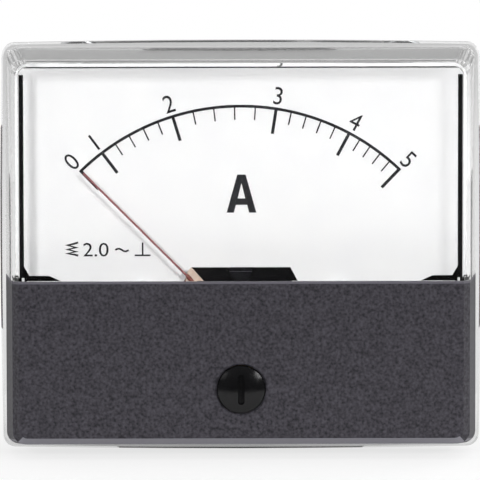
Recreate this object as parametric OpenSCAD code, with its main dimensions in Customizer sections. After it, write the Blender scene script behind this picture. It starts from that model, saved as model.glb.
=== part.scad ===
// Moving-iron ammeter for panel mounting, 70 x 60 mm front, for a 52 mm round cut-out.
// x runs to the right and z up, as seen by a person reading the dial, and y runs back through the
// panel. The origin is on the barrel's axis, in the plane of the panel's front face.
// Angles on the movement are clockwise from straight up, as read on the dial.

/* [Cover] */
// Width of the lip that covers the edge of the panel cut-out
lip_w = 70.4; // [69.6:0.1:76]
// Height of the lip
lip_h = 60; // [59:0.1:66]
// Thickness of the lip
lip_t = 2.3; // [1.8:0.1:2.5]
// How far the middle of each side of the lip bows out past its ends
lip_bow = 0.35; // [0:0.05:0.8]
// Width of the cover's wall where it meets the lip
wall_w = 68.8; // [68.6:0.1:69.2]
// Height of the cover's wall where it meets the lip
wall_h = 58.4; // [58:0.1:58.8]
// Taper of the cover's walls towards the front, in degrees
wall_draft = 6.5; // [5:0.1:7]
// Distance from the panel to the front face of the window
cover_depth = 15; // [15:0.1:18]
// Width of the bevel round the front face
bevel = 0.95; // [0.5:0.05:1.4]
// Thickness of the cover's side walls
cover_t = 1.2; // [1:0.05:1.3]
// Thickness of the window
window_t = 2; // [1.8:0.05:2.1]

/* [Mask] */
// Height of the mask's top edge above the barrel's axis
mask_top = -4.1; // [-4.6:0.1:-3.6]
// Thickness of the mask
mask_t = 0.9; // [0.7:0.05:1]

/* [Base and barrel] */
// Diameter of the barrel, for a 52 mm cut-out
barrel_d = 51.5; // [51:0.1:52.4]
// Length of the barrel behind the panel
barrel_len = 28.5; // [27:0.5:45]
// Thickness of the barrel's wall
barrel_t = 1.8; // [1.2:0.1:1.9]
// Thickness of the barrel's rear wall
rear_t = 2.2; // [1.6:0.1:3]
// Thickness of the base plate inside the lip
base_t = 2.4; // [2.2:0.1:2.6]
// Thickness of the rim that stands up beside the dial
rim_t = 0.8; // [0.6:0.05:0.9]
// How far the rim stands proud of the dial's face
rim_proud = 0.35; // [0.1:0.05:0.6]

/* [Panel fixing] */
// Distance between the panel studs, left to right
stud_dx = 48; // [47:0.5:49]
// Distance between the panel studs, top to bottom
stud_dz = 40; // [39.5:0.5:41]
// Diameter of the panel studs
stud_d = 3; // [2.5:0.5:3]
// Length of the panel studs behind the panel
stud_len = 15; // [12:0.5:25]

/* [Terminals] */
// Distance between the terminal studs
terminal_dx = 26; // [24:0.5:30]
// Height of the terminal studs above the barrel's axis
terminal_z = 6; // [4:0.5:9]
// Diameter of the terminal studs
terminal_d = 4; // [3.5:0.5:4]
// Length of the terminal studs behind the barrel's rear wall
terminal_len = 13.5; // [12:0.5:20]

/* [Dial] */
// Distance from the panel to the dial's face
dial_front = 6.5; // [6.3:0.1:6.8]
// Thickness of the dial plate
dial_t = 0.8; // [0.5:0.05:0.9]
// Radius of the scale's arc
scale_r = 33.4; // [32:0.1:34]
// Width of the scale's arc line
scale_line = 0.42; // [0.2:0.02:0.6]
// Length of the mark at each whole ampere
major_len = 3.9; // [3:0.1:5]
// Length of the mark at each fifth of an ampere
minor_len = 2.2; // [1.5:0.1:3]
// Angle of the mark at each whole ampere, from 0 to 5
mark_angles = [-44.1, -37.1, -17.2, 8.9, 28.2, 43.6];

/* [Movement] */
// How far the pivot lies below the barrel's axis
pivot_drop = 12.7; // [12.5:0.05:12.8]
// Distance from the dial's face to the needle's axis
needle_lift = 2; // [1.9:0.05:2.05]
// Direction of the pointer at rest
rest_angle = -45; // [-46:0.5:-44]
// Distance from the pivot to the needle's tip
needle_r = 33; // [30:0.5:33.5]
// Diameter of the needle
needle_d = 0.3; // [0.2:0.02:0.4]
// Thickness of the movement frame's plate
frame_t = 2; // [1.6:0.1:2.2]
// Length of the coil over its flanges
coil_len = 14.4; // [13:0.2:14.6]
// Diameter of the coil's flanges
coil_d = 20.8; // [20:0.1:21]
// Bore of the coil
coil_bore = 10; // [9.8:0.1:10.4]
// Diameter of the coil's wire
wire_d = 1; // [0.8:0.05:1.1]
// Diameter of the staff that carries the pointer
staff_d = 1.2; // [1:0.05:1.3]
// Thickness of the two bridges that hold the jewels
bridge_t = 1; // [0.8:0.05:1.1]
// Thickness of the damping vane
vane_t = 0.2; // [0.15:0.05:0.3]
// Gap between the damping vane and each magnet
air_gap = 0.45; // [0.4:0.05:0.6]

/* [Zero adjuster] */
// Distance from the pivot down to the adjuster's axis
adjuster_drop = 7.1; // [7:0.05:7.3]
// Diameter of the adjuster's head
adjuster_d = 6.8; // [6:0.1:7]
// Diameter of the adjuster's shaft
adjuster_shaft_d = 4; // [3.6:0.1:4.2]
// Distance of the eccentric pin from the adjuster's axis
pin_throw = 1.5; // [1.3:0.05:1.6]
// Width of the adjuster's screwdriver slot
slot_w = 0.95; // [0.7:0.05:1.2]

/* [Hidden] */
$fn = 48;

// Clearances
seat_gap = 0.05; // between pieces of one body that are pressed or screwed together
run_gap = 0.05; // radial, between a turning piece and its bearing
base_gap = 0.2; // between the cover and the base inside it
ink_t = 0.05; // height of the printed marks

// Levels along y, from the window back to the panel
front_y = -cover_depth;
window_y = front_y + window_t;
dial_y = -dial_front;
dial_back = dial_y + dial_t;
frame_back = dial_back + frame_t;
rim_y = dial_y - rim_proud;

// Movement, in front of the dial
needle_y = dial_y - needle_lift;
arm_t = 0.8;
arm_front = needle_y - arm_t / 2;
hub_back = dial_y - 0.8;
balance_y = arm_front + 1;
spring_w = 0.4;
spring_back = arm_front - 0.3;
spring_front = spring_back - spring_w;
bridge_back = spring_front - 0.6;
bridge_front = bridge_back - bridge_t;
lever_t = 0.5;
lever_play = 0.1;
lever_back = bridge_front - lever_play;
lever_front = lever_back - lever_t;
collar_front = lever_front - lever_play;
lever_washer_t = 0.2;
jewel_head_t = 0.5;
jewel_head_y = collar_front - lever_washer_t;

// Movement, behind the dial
yoke_t = 0.8;
magnet_t = 0.55;
vane_y = frame_back + yoke_t + magnet_t + air_gap + vane_t / 2;
yoke_back = vane_y + vane_t / 2 + air_gap + magnet_t + yoke_t;
coil_front = yoke_back + 0.6;
coil_back = coil_front + coil_len;
flange_t = 1;
rear_bridge_y = coil_back + 0.8;
rear_bridge_t = bridge_t + 0.5;
rear_bridge_back = rear_bridge_y + rear_bridge_t;

// Pivot and jewels
pivot_z = -pivot_drop;
adjuster_z = pivot_z - adjuster_drop;
jewel_r = 1.5;
jewel_cup_r = 0.45;
jewel_cup_depth = 0.8;
pivot_r = jewel_cup_r - run_gap;
staff_r = staff_d / 2;
front_cup_y = bridge_back + 0.3;
rear_cup_y = rear_bridge_y - 0.4;
end_shake = 0.1;

// Cover
wall_r = 1.8;
lip_r = 1.7;
face_r = 1.3;
lip_round = 0.25;
face_y = front_y + bevel;
lower_in_t = 1; // wall behind the mask
step_z = mask_top + 0.4; // where the cavity steps in behind the mask

// Base
pocket_y = -base_t - base_gap;
pocket_step = 0.15; // how far the pocket for the base plate is wider than the cavity
barrel_r = barrel_d / 2;
bore_r = barrel_r - barrel_t;
rear_y = barrel_len - rear_t;
terminal_boss_t = 1.5;
terminal_seat = barrel_len + terminal_boss_t;
rim_top_t = 0.6;
rim_top_gap = 0.55;
ear_drop = 0.95;
frame_screw_x = 27;
frame_screw_z = -14;
post_r = 2.6;
post_sink = 0.3;
cover_screw_x = wall_x(window_y) - mask_t - lower_in_t - post_r + post_sink;
cover_screw_z = mask_top - 1.5 - post_r;

// Fasteners
m2_r = 0.8; // core of the small screws
m2_head_r = 1.7;
m2_head_t = 1;

// Half-sizes of the cover's outer wall and of the cavity in it, at depth y
function wall_x(y) = wall_w / 2 - tan(wall_draft) * (-y - lip_t);
function wall_z(y) = wall_h / 2 - tan(wall_draft) * (-y - lip_t);
function cavity_x(y) = wall_x(y) - cover_t;
function cavity_z(y) = wall_z(y) - cover_t;

rim_x = cavity_x(rim_y) - base_gap;
rim_z = cavity_z(rim_y) - rim_top_gap;
plate_x = cavity_x(pocket_y) + pocket_step - base_gap;
plate_z = cavity_z(pocket_y) + pocket_step - base_gap;
dial_x = rim_x - rim_t - 0.1;
dial_z = rim_z - rim_top_t - 0.1;

// ---------- Shared shapes ----------

// A flat shape drawn in x and z, standing between two depths
module plate(y0, y1) {
    translate([0, y1, 0])
        rotate([90, 0, 0])
            linear_extrude(height = y1 - y0)
                children();
}

// A round bar along y
module bar(r, y0, y1, x = 0, z = 0) {
    translate([x, y0, z])
        rotate([-90, 0, 0])
            cylinder(r = r, h = y1 - y0);
}

// A shape turned about the y axis, from a profile drawn as [radius, y]
module turned(x = 0, z = 0) {
    translate([x, 0, z])
        rotate([-90, 0, 0])
            rotate_extrude($fn = 72)
                children();
}

module ring(r_out, r_in, y0, y1, x = 0, z = 0) {
    difference() {
        bar(r_out, y0, y1, x, z);
        bar(r_in, y0 - 1, y1 + 1, x, z);
    }
}

// The movement's own frame: its z runs from the pivot in direction a
module at_pivot(a = 0) {
    translate([0, 0, pivot_z])
        rotate([0, a, 0])
            children();
}

module both_sides() {
    children();
    mirror([1, 0, 0])
        children();
}

// A wedge of directions from a0 to a1, as wide as the radius needs
module wedge(r, a0, a1) {
    steps = max(1, ceil((a1 - a0) / 30));
    rim = [for (i = [0 : steps]) let (a = a0 + (a1 - a0) * i / steps) 1.1 * r * [sin(a), cos(a)]];
    polygon(concat([[0, 0]], rim));
}

module sector(r_in, r_out, a0, a1) {
    intersection() {
        difference() {
            circle(r = r_out, $fn = 96);
            circle(r = r_in, $fn = 96);
        }
        wedge(r_out, a0, a1);
    }
}

// A rounded rectangle as points, with each side divided so that it can bow
function corner(cx, cz, r, a) = [for (i = [0 : 5]) [cx + r * cos(a + 18 * i), cz + r * sin(a + 18 * i)]];
function rounded(hx, hz, r) = concat(
    corner(hx - r, hz - r, r, 0), corner(r - hx, hz - r, r, 90),
    corner(r - hx, r - hz, r, 180), corner(hx - r, r - hz, r, 270));
// The same with each side divided, so that the sides can bow
function between(p, q) = [for (i = [1 : 5]) p + (q - p) * i / 6];
function divided(hx, hz, r) = concat(
    corner(hx - r, hz - r, r, 0), between([hx - r, hz], [r - hx, hz]),
    corner(r - hx, hz - r, r, 90), between([-hx, hz - r], [-hx, r - hz]),
    corner(r - hx, r - hz, r, 180), between([r - hx, -hz], [hx - r, -hz]),
    corner(hx - r, r - hz, r, 270), between([hx, r - hz], [hx, hz - r]));
function bowed(hx, hz, r, bow) = [for (p = divided(hx, hz, r))
    [p[0] * (1 - bow / hx * pow(p[1] / hz, 2)), p[1] * (1 - bow / hz * pow(p[0] / hx, 2))]];

// A skin over outlines at rising depths, each given as [y, points]
module loft(sections) {
    n = len(sections[0][1]);
    last = len(sections) - 1;
    points = [for (s = sections) for (p = s[1]) [p[0], s[0], p[1]]];
    sides = [for (k = [0 : last - 1]) for (i = [0 : n - 1])
        let (j = (i + 1) % n, a = k * n + i, b = k * n + j)
            each [[a, b, b + n], [a, b + n, a + n]]];
    front = [for (i = [n - 1 : -1 : 0]) i];
    back = [for (i = [0 : n - 1]) last * n + i];
    polyhedron(points = points, faces = concat([front], sides, [back]));
}

// The cover's outer form, moved in by t on every face
module shell(t = 0) {
    k = t * tan(22.5);
    face_hx = wall_x(face_y) - bevel;
    face_hz = wall_z(face_y) - bevel;
    y1 = face_y + k;
    loft([
        [front_y + t, rounded(face_hx - k, face_hz - k, face_r)],
        [y1, rounded(wall_x(y1) - t, wall_z(y1) - t, wall_r - t / 2)],
        [0, rounded(wall_x(0) - t, wall_z(0) - t, wall_r - t / 2)]]);
}

// A straight-sided cavity that follows the cover's draft, t inside its outer wall
module cavity(t, y0, y1) {
    loft([
        [y0, rounded(wall_x(y0) - t, wall_z(y0) - t, wall_r - t / 2)],
        [y1, rounded(wall_x(y1) - t, wall_z(y1) - t, wall_r - t / 2)]]);
}

module below(z, y0, y1) {
    translate([-lip_w, y0, z - 2 * lip_h])
        cube([2 * lip_w, y1 - y0, 2 * lip_h]);
}

module above(z, y0, y1) {
    translate([-lip_w, y0, z])
        cube([2 * lip_w, y1 - y0, 2 * lip_h]);
}

// ---------- Case ----------

module front_cover() color("aliceblue", 0.4) {
    difference() {
        union() {
            shell();
            loft([
                [-lip_t, bowed(lip_w / 2 - lip_round, lip_h / 2 - lip_round, lip_r, lip_bow)],
                [-lip_t + lip_round, bowed(lip_w / 2, lip_h / 2, lip_r, lip_bow)],
                [0, bowed(lip_w / 2, lip_h / 2, lip_r, lip_bow)]]);
        }
        difference() {
            below(mask_top, front_y - 1, -lip_t);
            shell(mask_t);
        }
        intersection() {
            cavity(cover_t, window_y, 1);
            above(step_z, window_y - 1, 2);
        }
        cavity(mask_t + lower_in_t, window_y, 1);
        cavity(cover_t - pocket_step, pocket_y, 1);
        bar(adjuster_shaft_d / 2 + run_gap, front_y - 1, window_y + 1, 0, adjuster_z);
    }
    both_sides()
        cover_post();
}

// Post for a cover screw, blind from the back, with a web to the wall
module cover_post() {
    web_x = wall_x(window_y) - mask_t - lower_in_t + 0.2;
    difference() {
        union() {
            bar(post_r, window_y - 0.2, -base_t - seat_gap, cover_screw_x, cover_screw_z);
            translate([cover_screw_x, window_y - 0.2, cover_screw_z - 0.6])
                cube([web_x - cover_screw_x, 3, 1.2]);
        }
        bar(m2_r + seat_gap, window_y + 2.5, 0, cover_screw_x, cover_screw_z);
    }
}

module lower_mask() color("dimgray") {
    edge = 0.15;
    top = mask_top - seat_gap;
    difference() {
        intersection() {
            shell();
            below(top, front_y - 1, -lip_t - seat_gap);
        }
        shell(mask_t - seat_gap);
        translate([0, front_y, top])
            rotate([45, 0, 0])
                cube([lip_w, 2 * edge / sqrt(2), 2 * edge / sqrt(2)], center = true);
        turned(0, adjuster_z)
            polygon([[0, front_y - 1], [adjuster_hole_r + 0.25 + 1, front_y - 1],
                [adjuster_hole_r, front_y + 0.25], [adjuster_hole_r, front_y + 2],
                [0, front_y + 2]]);
    }
}

adjuster_hole_r = adjuster_d / 2 + 0.15;
adjuster_head_y = front_y + mask_t; // face of the cover under the head
adjuster_rim = 0.2; // how far the head's edge stands out of the mask
adjuster_dome = 0.65; // rise of the dome above its edge
adjuster_collar_y = window_y + 0.25;
adjuster_collar_r = 2.6;
adjuster_pin_r = 0.5;

// Domed head with a slot, a shaft through the cover, a snap collar and an eccentric pin
module zero_adjuster() color("black") {
    rim_y0 = front_y - adjuster_rim;
    head_r = adjuster_d / 2;
    dome_r = (head_r * head_r + adjuster_dome * adjuster_dome) / (2 * adjuster_dome);
    slot_len = 0.64 * adjuster_d;
    collar_back = adjuster_collar_y + 0.65;
    difference() {
        union() {
            turned(0, adjuster_z)
                intersection() {
                    translate([0, rim_y0 - adjuster_dome + dome_r])
                        circle(r = dome_r, $fn = 180);
                    translate([0, rim_y0 - adjuster_dome])
                        square([head_r, adjuster_head_y - rim_y0 + adjuster_dome]);
                }
            bar(adjuster_shaft_d / 2, adjuster_head_y, collar_back, 0, adjuster_z);
            bar(adjuster_collar_r, adjuster_collar_y, collar_back, 0, adjuster_z);
            bar(adjuster_pin_r, collar_back, lever_back + 0.4, 0, adjuster_z - pin_throw);
        }
        plate(rim_y0 - 2, rim_y0 + 0.35)
            translate([0, adjuster_z])
                hull() {
                    for (s = [-1, 1])
                        translate([0, s * (slot_len - slot_w) / 2])
                            circle(d = slot_w, $fn = 24);
                }
    }
}

module base_outline(hx, hz) {
    r = wall_r - cover_t / 2;
    polygon(rounded(hx, hz, r));
}

module base_housing() color("#161618") {
    difference() {
        union() {
            plate(-base_t, 0)
                base_outline(plate_x, plate_z);
            base_rim();
            turned()
                polygon([[bore_r - 1, -1], [barrel_r, -1], [barrel_r, barrel_len - barrel_edge],
                    [barrel_r - barrel_edge, barrel_len], [0, barrel_len], [0, rear_y],
                    [bore_r - 1, rear_y]]);
            both_sides() {
                bar(terminal_boss_r, rear_y, terminal_seat, terminal_dx / 2, terminal_z);
                bar(stud_boss_r, dial_back, -base_t, stud_dx / 2, stud_dz / 2);
                stud_posts();
                bar(2.6, frame_back + seat_gap, -base_t, frame_screw_x, frame_screw_z);
            }
        }
        bar(bore_r, -base_t - 1, rear_y);
        for (sx = [-1, 1]) {
            bar(engaged_r + seat_gap, rear_y - 1, terminal_seat + 1, sx * terminal_dx / 2, terminal_z);
            for (sz = [-1, 1]) {
                bar(knurl_r + 0.02, -base_t - 4, 1, sx * stud_dx / 2, sz * stud_dz / 2);
                bar(stud_head_r + seat_gap, dial_back - 4, -base_t + stud_sink, sx * stud_dx / 2, sz * stud_dz / 2);
            }
            bar(m2_r + seat_gap, frame_back - 1, -0.6, sx * frame_screw_x, frame_screw_z);
            turned(sx * cover_screw_x, cover_screw_z)
                polygon([[0, -base_t - 1], [m2_r + 0.15, -base_t - 1], [m2_r + 0.15, -m2_head_t - 0.05],
                    [m2_head_r + 0.1, -0.05 - m2_head_t + (m2_head_r - m2_r)], [m2_head_r + 0.1, 1], [0, 1]]);
        }
    }
}

barrel_edge = 1;
terminal_boss_r = 5.5;
stud_boss_r = 3.7;
stud_head_r = 2.75;
stud_head_t = 1.2;
stud_sink = 0.6;
knurl_r = stud_d / 2 + 0.25;

module stud_posts() {
    bar(stud_boss_r, -base_t - 1.2, -base_t, stud_dx / 2, -stud_dz / 2);
}

// Rim round the dial: side walls down to the mask, cut back at the top for the dial's ears
module base_rim() {
    difference() {
        plate(rim_y, -base_t)
            base_outline(rim_x, rim_z);
        plate(rim_y - 1, 0)
            square([2 * (rim_x - rim_t), 2 * (rim_z - rim_top_t)], center = true);
        below(step_z + base_gap, rim_y - 1, -base_t);
        translate([-lip_w, rim_y - 1, rim_z - rim_top_t - ear_drop - 0.2])
            cube([2 * lip_w, dial_back - rim_y + 1 + 0.05, ear_drop + 0.2]);
    }
}

module cover_screws() color("silver") {
    both_sides()
        difference() {
            turned(cover_screw_x, cover_screw_z)
                polygon([[0, window_y + 4], [m2_r, window_y + 4], [m2_r, -m2_head_t],
                    [m2_head_r, -m2_head_t + (m2_head_r - m2_r)], [m2_head_r, -0.05], [0, -0.05]]);
            cross_recess(cover_screw_x, cover_screw_z, -0.65, 1);
        }
}

// Crossed driver recess, cut from y0 to y1
module cross_recess(x, z, y0, y1) {
    translate([x, 0, z])
        for (a = [0, 90])
            rotate([0, a, 0])
                translate([-0.2, y0, -1])
                    cube([0.4, y1 - y0, 2]);
}

// ---------- Dial ----------

cut_top = 2.8; // how far the opening's top edge lies below the barrel's axis
cut_half = 7.2; // half-width of the opening at its top
cut_slope = 0.54;
dial_screw_x = 14.3;
dial_screw_z = mask_top - 2.3;

function dial_right() = [
    [rim_x - 0.05, dial_z],
    [rim_x - 0.05, dial_z - ear_drop],
    [dial_x, dial_z - ear_drop],
    [dial_x, mask_top + 1.45],
    [dial_x - 0.8, mask_top + 0.1],
    [dial_x - 3.7, mask_top + 0.07],
    [dial_x - 5.5, mask_top - 0.74],
    [dial_x - 7, mask_top - 4],
    [22.6, mask_top - 5.5],
    [22.6, leg_z],
    [cut_x(leg_z), leg_z],
    [cut_half, -cut_top]];
leg_z = -15;
function cut_x(z) = cut_half + cut_slope * (-cut_top - z);
function mirrored(points) = [for (i = [len(points) - 1 : -1 : 0]) [-points[i][0], points[i][1]]];

// White plate, open below so that it slides in round the staff
module dial_plate() color("white")
    difference() {
        plate(dial_y, dial_back)
            polygon(concat(dial_right(), mirrored(dial_right())));
        both_sides()
            bar(m2_r + 0.1, dial_y - 1, dial_back + 1, dial_screw_x, dial_screw_z);
    }

module scale_marks() color("black")
    at_pivot()
        plate(dial_y - ink_t, dial_y) {
            sector(scale_r - scale_line / 2, scale_r + scale_line / 2, mark_angles[0], mark_angles[5]);
            for (i = [0 : 5])
                scale_mark(mark_angles[i], major_len, 0.45);
            for (i = [1 : 4])
                for (k = [1 : 4])
                    scale_mark(mark_angles[i] + (mark_angles[i + 1] - mark_angles[i]) * k / 5, minor_len, 0.2);
        }

module scale_mark(a, length, width) {
    rotate(-a)
        translate([-width / 2, scale_r + scale_line / 2 - length])
            square([width, length - 0.02]);
}

module dial_screws() color("silver")
    both_sides()
        small_screw(dial_y, dial_screw_x, dial_screw_z, frame_t + dial_t - 0.5);

// Cheese-head screw with its head's underside at depth y, driven from the front
module small_screw(y, x, z, length) {
    difference() {
        union() {
            bar(m2_head_r, y - m2_head_t, y, x, z);
            bar(m2_r, y, y + length, x, z);
        }
        translate([x - m2_head_r - 1, y - m2_head_t - 1, z - 0.2])
            cube([2 * m2_head_r + 2, 1.45, 0.4]);
    }
}

// ---------- Movement frame and bearings ----------

front_pillar_x = 9.5;
front_pillar_z = pivot_z - 1;
pillar_r = 1.5;
pillar_angle = 118;
pillar_radius = 12.8;
pillar_x = pillar_radius * sin(pillar_angle);
pillar_z = pivot_z + pillar_radius * cos(pillar_angle);
stop_radius = 15.5;
stop_r = 0.6;
swing_low = -3;
swing_high = 93;
lever_swing = 8.25;
vane_half = 48;
stop_angle = vane_half + (swing_high - swing_low) / 2 + lever_swing + 3;
magnet_r0 = 10.8;
magnet_r1 = 17.8;
magnet_w = 6;

frame_half = 17.5;
frame_below = 11;
frame_above = 16.5;
frame_ear_r = 2;
frame_corner = 8;

module frame_outline() {
    difference() {
        union() {
            translate([-frame_half, pivot_z - frame_below])
                square([2 * frame_half, frame_below + frame_above]);
            translate([-frame_screw_x, frame_screw_z - frame_ear_r])
                square([2 * frame_screw_x, 2 * frame_ear_r]);
            for (s = [-1, 1])
                translate([s * frame_screw_x, frame_screw_z])
                    circle(r = frame_ear_r);
        }
        for (s = [-1, 1])
            translate([s * frame_half, pivot_z - frame_below])
                rotate(45)
                    square(frame_corner, center = true);
        translate([0, pivot_z])
            circle(r = 3);
    }
}

// Black moulded frame with posts for the front bridge and stops for the vane
module movement_frame() color("#1b1b1d") {
    difference() {
        union() {
            plate(dial_back, frame_back)
                frame_outline();
            both_sides() {
                bar(pillar_r, bridge_back, dial_back, front_pillar_x, front_pillar_z);
                bar(pillar_r + 1.2, dial_back - 0.6, dial_back, front_pillar_x, front_pillar_z);
            }
            for (s = [-1, 1])
                at_pivot(s * stop_angle)
                    bar(stop_r, frame_back, vane_y + vane_t / 2 + 0.6, 0, stop_radius);
            frame_ribs();
        }
        both_sides() {
            bar(m2_r + seat_gap, bridge_back - 1, dial_back, front_pillar_x, front_pillar_z);
            bar(m2_r + 0.1, dial_back - 1, frame_back + 1, frame_screw_x, frame_screw_z);
            bar(m2_r + seat_gap, dial_back - 1, frame_back + 1, dial_screw_x, dial_screw_z);
            bar(m2_r + seat_gap, dial_back - 1, frame_back + 1, pillar_x, pillar_z);
        }
        bar(m2_r + 0.1, dial_back - 1, frame_back + 1, 0, yoke_screw_z);
        bar(m2_head_r + 0.1, dial_back - 1, dial_back + m2_head_t, 0, yoke_screw_z);
        both_sides()
            bar(m2_head_r + 0.1, dial_back - 1, dial_back + m2_head_t, pillar_x, pillar_z);
    }
}

// Stiffening ribs along the frame's arms, behind the plate
module frame_ribs() {
    rib_x = frame_half + 0.5;
    rib_len = frame_screw_x - frame_ear_r - 1 - rib_x;
    both_sides()
        translate([rib_x, frame_back, frame_screw_z - 0.5])
            cube([rib_len, 0.8, 1]);
}

module frame_screws() color("silver")
    both_sides()
        small_screw(dial_back, frame_screw_x, frame_screw_z, -0.8 - dial_back);

bridge_half_h = 2.3;

module bridge_outline(x, z) {
    difference() {
        union() {
            translate([-x, z - pillar_r])
                square([2 * x, 2 * pillar_r]);
            for (s = [-1, 1])
                translate([s * x, z])
                    circle(r = pillar_r);
            translate([0, pivot_z])
                circle(r = bridge_half_h + 0.6);
        }
        for (s = [-1, 1])
            translate([s * x, z])
                circle(r = m2_r + 0.1);
    }
}

collar_r = 2.4;

// Bar across the front of the movement, with a collar that the zero lever turns on
module front_bridge() color("goldenrod")
    difference() {
        union() {
            plate(bridge_front, bridge_back)
                bridge_outline(front_pillar_x, front_pillar_z);
            bar(collar_r, collar_front, bridge_back, 0, pivot_z);
        }
        bar(jewel_r + 0.03, collar_front - 1, bridge_back + 1, 0, pivot_z);
    }

module bridge_screws() color("silver") {
    both_sides() {
        small_screw(bridge_front, front_pillar_x, front_pillar_z, bridge_t + 3);
        translate([0, 2 * rear_bridge_back, 0])
            mirror([0, 1, 0])
                small_screw(rear_bridge_back, pillar_x, pillar_z, rear_bridge_t + 3);
        small_screw(dial_back + m2_head_t, pillar_x, pillar_z, frame_t - m2_head_t + 3);
    }
}

module front_jewel_screw() color("goldenrod")
    difference() {
        union() {
            bar(jewel_r, jewel_head_y, front_cup_y, 0, pivot_z);
            bar(collar_r, jewel_head_y - jewel_head_t, jewel_head_y, 0, pivot_z);
        }
        bar(jewel_cup_r, front_cup_y - jewel_cup_depth, front_cup_y + 1, 0, pivot_z);
        translate([-0.25, jewel_head_y - jewel_head_t - 1, pivot_z - 4])
            cube([0.5, 1.3, 8]);
    }

module lever_washer() color("silver")
    ring(collar_r + 0.9, jewel_r + 0.05, jewel_head_y, collar_front, 0, pivot_z);

fork_gap = 0.15; // between the eccentric pin and each side of the fork
spring_stud_r = 0.45;
spring_t = 0.12;
spring_r_out = 4.3;
spring_stud_radius = spring_r_out + spring_t + 0.03 + spring_stud_r;

// Lever that the adjuster's pin swings, with a fork below and the hairspring's stud above
module zero_lever() color("goldenrod")
    at_pivot() {
        fork_w = adjuster_pin_r + fork_gap;
        fork_start = adjuster_drop - 0.6;
        fork_end = adjuster_drop + pin_throw + 1.1;
        plate(lever_front, lever_back)
            difference() {
                union() {
                    circle(r = collar_r + 1.2);
                    polygon([[-1.6, 0], [-0.8, spring_stud_radius + 0.7], [0.8, spring_stud_radius + 0.7],
                        [1.6, 0], [fork_w + 1, -fork_start], [fork_w + 1, -fork_end],
                        [-fork_w - 1, -fork_end], [-fork_w - 1, -fork_start]]);
                }
                circle(r = collar_r + run_gap);
                translate([-fork_w, -fork_end - 1])
                    square([2 * fork_w, fork_end + 1 - fork_start]);
            }
        bar(spring_stud_r, lever_back - 0.1, spring_back, 0, spring_stud_radius);
    }

// ---------- Coil and irons ----------

module frame_pillars() color("silver")
    both_sides()
        difference() {
            bar(pillar_r, frame_back, rear_bridge_y, pillar_x, pillar_z);
            bar(m2_r + seat_gap, frame_back - 1, frame_back + 3.5, pillar_x, pillar_z);
            bar(m2_r + seat_gap, rear_bridge_y - 3.5, rear_bridge_y + 1, pillar_x, pillar_z);
        }

bobbin_tube_t = 0.8;
winding_r0 = coil_bore / 2 + bobbin_tube_t + 0.02;
winding_r1 = coil_d / 2 - 0.4;

// Spool with ears that the two pillars pass through
module coil_bobbin() color("ivory")
    difference() {
        union() {
            at_pivot()
                turned()
                    polygon([[coil_bore / 2, coil_front], [coil_d / 2, coil_front],
                        [coil_d / 2, coil_front + flange_t],
                        [winding_r0 - 0.02, coil_front + flange_t],
                        [winding_r0 - 0.02, coil_back - flange_t],
                        [coil_d / 2, coil_back - flange_t], [coil_d / 2, coil_back],
                        [coil_bore / 2, coil_back]]);
            for (y = [coil_front, coil_back - flange_t])
                plate(y, y + flange_t)
                    intersection() {
                        bobbin_ears();
                        difference() {
                            circle(r = bore_r - 0.3);
                            translate([0, pivot_z])
                                circle(r = coil_bore / 2 + 1);
                        }
                    }
        }
        both_sides() {
            bar(pillar_r + seat_gap, coil_front - 1, coil_back + 1, pillar_x, pillar_z);
            lead_notch();
        }
    }

module bobbin_ears() {
    for (s = [-1, 1])
        hull() {
            translate([s * pillar_x, pillar_z])
                circle(r = pillar_r + 1, $fn = 32);
            translate([s * pillar_x / 2, (pillar_z + pivot_z) / 2])
                circle(r = 3, $fn = 32);
        }
}

// Enamelled wire, layer on layer: the outer layer shows as turns
module coil_winding() color("chocolate")
    at_pivot()
        turned()
            difference() {
                union() {
                    translate([winding_r0, winding_y0])
                        square([winding_r1 - wire_d / 2 - winding_r0, winding_len]);
                    for (i = [0 : turns - 1])
                        translate([winding_r1 - wire_d / 2, winding_y0 + (i + 0.5) * pitch])
                            circle(d = min(wire_d, pitch - 0.001), $fn = 24);
                }
            }

winding_y0 = coil_front + flange_t + 0.02;
winding_len = coil_len - 2 * flange_t - 0.04;
turns = floor(winding_len / wire_d);
pitch = winding_len / turns;

// Leads: out over the winding, through a notch in the rear flange and up to the solder tags
lead_x = 5.6;
lead_clear = 0.15;
lead_r = winding_r1 + wire_d / 2 + lead_clear;
lead_z = pivot_z + sqrt(lead_r * lead_r - lead_x * lead_x);
lead_start = coil_back - flange_t - 3;
tag_t = 0.6;
tag_r = 4;
tag_w = 2.4;
tag_len = 8.5;
tag_y = rear_y - tag_t;
tag_tip_z = terminal_z - tag_len + 1;
lead_end_y = tag_y - wire_d / 2 - 0.05;

function lead_route() = [
    [lead_x, lead_start, lead_z],
    [lead_x, lead_start + 2, lead_z],
    [lead_x, coil_back, lead_z],
    [lead_x + 0.1, coil_back + 1.5, lead_z + 0.1],
    [lead_x + 0.8, (coil_back + lead_end_y) / 2 - 0.8, lead_z + 0.5],
    [terminal_dx / 4 + lead_x / 2, (coil_back + lead_end_y) / 2 + 0.8, (lead_z + tag_tip_z) / 2],
    [terminal_dx / 2 - 1.5, lead_end_y - 1.6, tag_tip_z - 0.6],
    [terminal_dx / 2 - 0.4, lead_end_y - 0.5, tag_tip_z + 0.1],
    [terminal_dx / 2, lead_end_y, tag_tip_z + 0.9],
    [terminal_dx / 2, lead_end_y, tag_tip_z + 2.2]];

module lead_notch() {
    translate([lead_x - wire_d / 2 - 0.2, coil_back - flange_t - 0.5, lead_z - wire_d / 2 - 0.1])
        cube([wire_d + 0.4, flange_t + 1, coil_d]);
}

function unit(v) = v / norm(v);
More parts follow.
